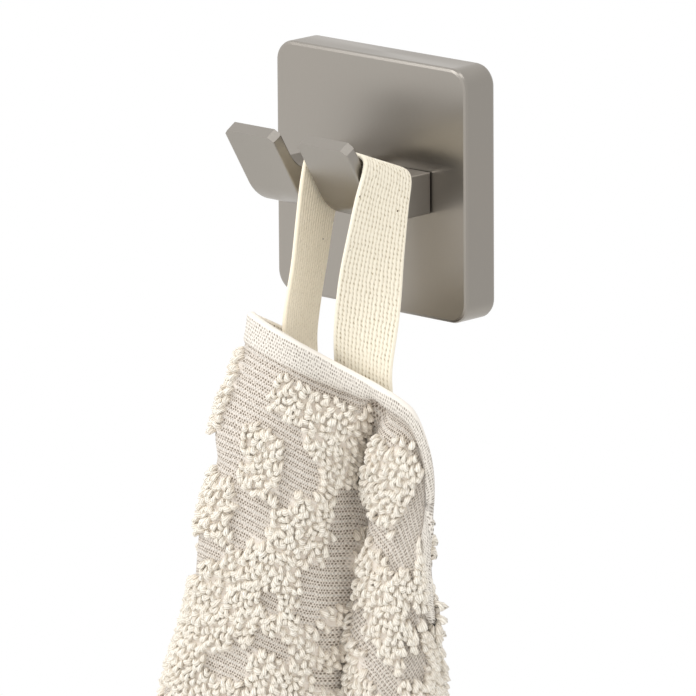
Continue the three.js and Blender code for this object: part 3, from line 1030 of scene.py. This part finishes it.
def loop_lines(rng, part, u, v):
    """Centre lines of the loops, an arch each with its feet in the ground, and their rise."""
    loops = part["loops"]
    across, down, normal = surface_frame(towel_middle, u, v)
    normal = normal * part["side"]
    count = len(u)
    turn = rng.normal(0, loops["turn"], count)
    ahead = np.cos(turn)[:, None] * down + np.sin(turn)[:, None] * across
    span = rng.uniform(*VARY["span"], count) * loops["pitch"][1] * REACH
    height = rng.uniform(*VARY["height"], count) * loops["height"]
    swing = rng.uniform(0, 2 * math.pi, count)
    sideways = np.cos(swing)[:, None] * across + np.sin(swing)[:, None] * down
    lean = rng.uniform(*VARY["lean"], count)[:, None] * sideways
    lean += rng.uniform(*loops["fall"], count)[:, None] * down
    t = np.linspace(0, 1, loops["rings"])
    rise = np.sin(math.pi * t) ** ARCH["full"]
    swell = t - 0.5 - ARCH["bow"] * np.sin(2 * math.pi * t)
    line = towel_middle(u, v)[:, None]
    line = line + normal[:, None] * (height[:, None] * rise)[..., None]
    line = line + ahead[:, None] * (span[:, None] * swell)[..., None]
    line = line + lean[:, None] * (rise ** ARCH["lean_high"])[None, :, None]
    return line, rise


def tubes(lines, radius, sides):
    """Points of two-lobed rings, which twist like two-ply yarn, at each step of each line."""
    along = np.gradient(lines, axis=1)
    along /= np.linalg.norm(along, axis=-1, keepdims=True)
    plane = np.cross(lines[:, -1] - lines[:, 0], lines[:, lines.shape[1] // 2] - lines[:, 0])
    plane /= np.linalg.norm(plane, axis=-1, keepdims=True)
    out = np.cross(along, plane[:, None])
    out /= np.linalg.norm(out, axis=-1, keepdims=True)
    side = np.cross(along, out)
    angle = 2 * math.pi * np.arange(sides) / sides
    twist = PLY_TWIST * np.arange(lines.shape[1]) / lines.shape[1]
    lobes = 1 + PLY_LOBE * np.cos(2 * (angle[None] + 2 * math.pi * twist[:, None]))
    ring = np.cos(angle)[:, None] * out[:, :, None] + np.sin(angle)[:, None] * side[:, :, None]
    return lines[:, :, None] + (radius[:, :, None] * lobes)[..., None] * ring


def tube_faces(count, rings, sides):
    """Quads and end caps of closed tubes, with each corner's turn and step."""
    index = np.arange(count * rings * sides).reshape(count, rings, sides)
    nearer, farther = index[:, :-1], index[:, 1:]
    quads = np.stack(
        [nearer, np.roll(nearer, -1, 2), np.roll(farther, -1, 2), farther], -1
    ).reshape(-1, 4)
    caps = np.concatenate([index[:, 0, ::-1], index[:, -1]])
    step, turn = np.meshgrid(np.arange(rings - 1), np.arange(sides), indexing="ij")
    corner_turns = np.stack([turn, turn + 1, turn + 1, turn], -1)
    corner_steps = np.stack([step, step, step + 1, step + 1], -1)
    place = np.stack([corner_turns, corner_steps], -1) / np.array([sides, rings - 1])
    quad_uv = np.broadcast_to(place, (count,) + place.shape).reshape(-1, 2)
    return [quads, caps], np.concatenate([quad_uv, np.zeros((caps.size, 2))])


def crease_shade(u, v):
    """The share of its brightness that the pile loses to painted shade in the deep crease."""
    across = np.exp(-(((u - CREASE_SHADE["middle"]) / CREASE_SHADE["half"]) ** 2))
    return CREASE_SHADE["share"] * across * (v < CREASE_SHADE["end"])


def build_pile(name, seed, material):
    """One part of the pile: its yarn loops as a joined mesh."""
    part = PILE_PARTS[name]
    rng = np.random.default_rng(seed)
    u, v = loop_places(rng, part)
    lines, rise = loop_lines(rng, part, u, v)
    size = rng.uniform(*VARY["yarn"], len(u)) * part["loops"]["radius"]
    radius = size[:, None] * (ARCH["foot_yarn"] + (1 - ARCH["foot_yarn"]) * rise)
    points = tubes(lines, radius, part["loops"]["sides"])
    # Each loop's brightness varies at random; painted shade darkens it in the deep crease and towards
    # its feet.
    shade = rng.uniform(*VARY["bright"], len(u)) * (1 - crease_shade(u, v))
    shade = shade[:, None] * (ARCH["shaded_foot_bright"] + (1 - ARCH["shaded_foot_bright"]) * rise)
    tint = np.broadcast_to(shade[..., None], points.shape[:3])
    faces, uv = tube_faces(*points.shape[:3])
    piece = add_piece(name, points, faces, material, uv=uv, tint=tint)
    return piece


# ---- Scene -------------------------------------------------------------------------

make_camera()
make_floor()
make_world()
make_lights()
finish_hardware()
ground = build_ground(ground_material())
loop_yarn = pile_material()
pile = [build_pile(name, seed, loop_yarn) for seed, name in enumerate(PILE_PARTS)]
tape, tape_length = build_tape(tape_material())

bpy.context.scene.view_settings.view_transform = "Standard"
